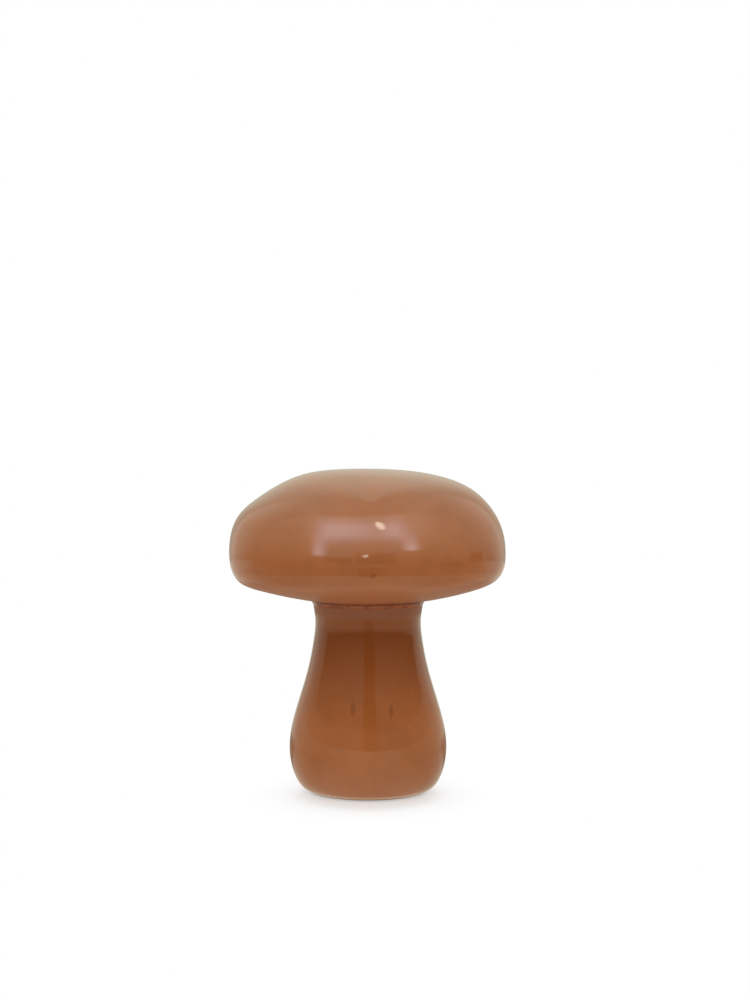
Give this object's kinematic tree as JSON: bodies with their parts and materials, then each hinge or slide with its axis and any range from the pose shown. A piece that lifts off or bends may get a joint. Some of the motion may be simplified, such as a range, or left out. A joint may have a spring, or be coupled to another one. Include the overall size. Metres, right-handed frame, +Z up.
{
  "type": "ceramic mushroom ornament",
  "caption": "Free-standing ceramic mushroom ornament with a broad, slightly lopsided cap on a waisted stem, in a brown gloss glaze.",
  "frame": {"origin": "on the surface that the ornament stands on, under the middle of the stem", "axes": "+Z up, -Y towards the front, +X towards the rounder side of the cap"},
  "size_m": [0.1, 0.1, 0.116],
  "materials": {
    "clay": "matt, unglazed, slightly rough",
    "glaze": "high gloss, translucent, paler where it is thin",
    "felt": "matt"
  },
  "bodies": {
    "root": {"cap_body": "clay", "stem_body": "clay", "luting_slip": "clay", "cap_glaze": "glaze", "stem_glaze": "glaze", "seam_glaze": "glaze", "base_felt": "felt"}
  },
  "joints": []
}
